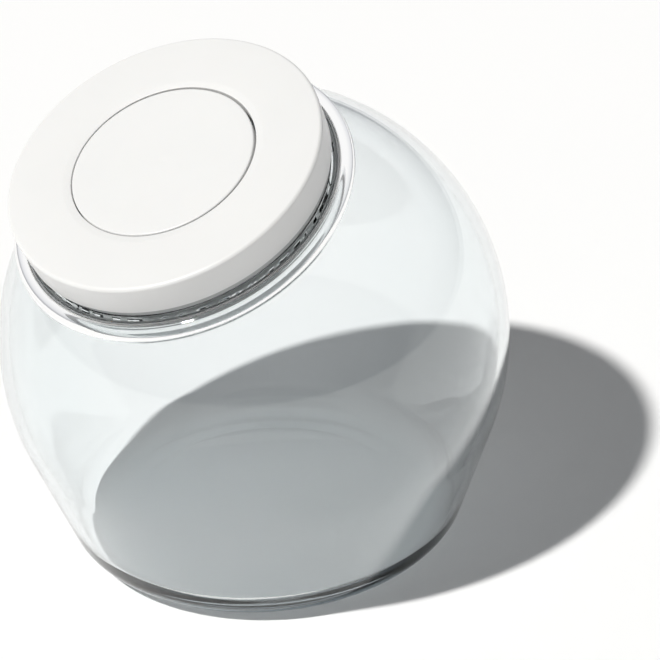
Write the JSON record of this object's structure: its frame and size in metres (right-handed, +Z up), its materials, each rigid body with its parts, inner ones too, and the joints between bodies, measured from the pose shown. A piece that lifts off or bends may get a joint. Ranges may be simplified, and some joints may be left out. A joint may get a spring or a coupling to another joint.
{
  "type": "lidded glass canister",
  "caption": "Ball-shaped clear glass storage jar with a flat base and an angled mouth, closed by a white lid whose flush push button squeezes a ring seal.",
  "frame": {"origin": "centre of the flat base, on the surface the jar stands on", "axes": "+Z up, the mouth leans towards -Y, X left to right seen from the mouth side"},
  "size_m": [0.218, 0.218, 0.2218],
  "materials": {
    "glass": "clear blown glass, polished",
    "white_cover": "satin white moulded plastic",
    "white_button": "satin white moulded plastic",
    "clear_plastic": "clear moulded plastic",
    "silicone": "translucent white silicone",
    "mechanism_white": "plain moulded plastic",
    "mechanism_grey": "slippery grey plastic",
    "lever_plastic": "glass-filled plastic",
    "steel": "plain stainless steel",
    "soft_rubber": "soft black rubber"
  },
  "bodies": {
    "jar": {"glass_jar": "glass"},
    "lid": {"lid_cover": "white_cover", "gasket_carrier": "clear_plastic", "gasket": "silicone", "cam_barrel": "mechanism_white", "barrel_screws": "steel", "button_buffer": "soft_rubber", "return_spring": "steel", "spring_washer": "steel", "rocker_pins": "steel", "cover_screws": "steel"},
    "button": {"button_cap": "white_button", "button_plunger": "mechanism_white", "rotor_clip": "steel"},
    "rotor": {"cam_rotor": "mechanism_grey"},
    "clamp": {"clamp_plate": "clear_plastic", "post_washers": "steel", "post_screws": "steel"},
    "rocker_1": {"rocker_1": "lever_plastic"},
    "rocker_2": {"rocker_2": "lever_plastic"},
    "rocker_3": {"rocker_3": "lever_plastic"}
  },
  "joints": [
    {"name": "lid_lift", "type": "slide", "parent": "jar", "child": "lid", "axis": [0, -0.4131, 0.9107], "range_m": [0, 0.13]},
    {"name": "button_slide", "type": "slide", "parent": "lid", "child": "button", "axis": [0, -0.4131, 0.9107], "range_m": [0, 0.008], "deforming": ["return_spring"]},
    {"name": "rotor_turn", "type": "hinge", "parent": "button", "child": "rotor", "pos_m": [0, -0.04083, 0.18071], "axis": [0, -0.4131, 0.9107], "range_deg": [0, 45]},
    {"name": "clamp_slide", "type": "slide", "parent": "lid", "child": "clamp", "axis": [0, -0.4131, 0.9107], "range_m": [-0.0024, 0], "deforming": ["gasket"]},
    {"name": "rocker_1_turn", "type": "hinge", "parent": "lid", "child": "rocker_1", "pos_m": [0, -0.00701, 0.19912], "axis": [-1, 0, 0], "range_deg": [0, 19.68]},
    {"name": "rocker_2_turn", "type": "hinge", "parent": "lid", "child": "rocker_2", "pos_m": [-0.03326, -0.05947, 0.17532], "axis": [0.5, -0.7887, -0.3578], "range_deg": [0, 19.68]},
    {"name": "rocker_3_turn", "type": "hinge", "parent": "lid", "child": "rocker_3", "pos_m": [0.03326, -0.05947, 0.17532], "axis": [0.5, 0.7887, 0.3578], "range_deg": [0, 19.68]}
  ],
  "couplings": [
    {"joint": "rotor_turn", "follows": "button_slide", "rad_per_m": 98.174},
    {"joint": "clamp_slide", "follows": "button_slide", "ratio": -0.3},
    {"joint": "rocker_1_turn", "follows": "button_slide", "rad_per_m": 42.945},
    {"joint": "rocker_2_turn", "follows": "button_slide", "rad_per_m": 42.945},
    {"joint": "rocker_3_turn", "follows": "button_slide", "rad_per_m": 42.945}
  ]
}
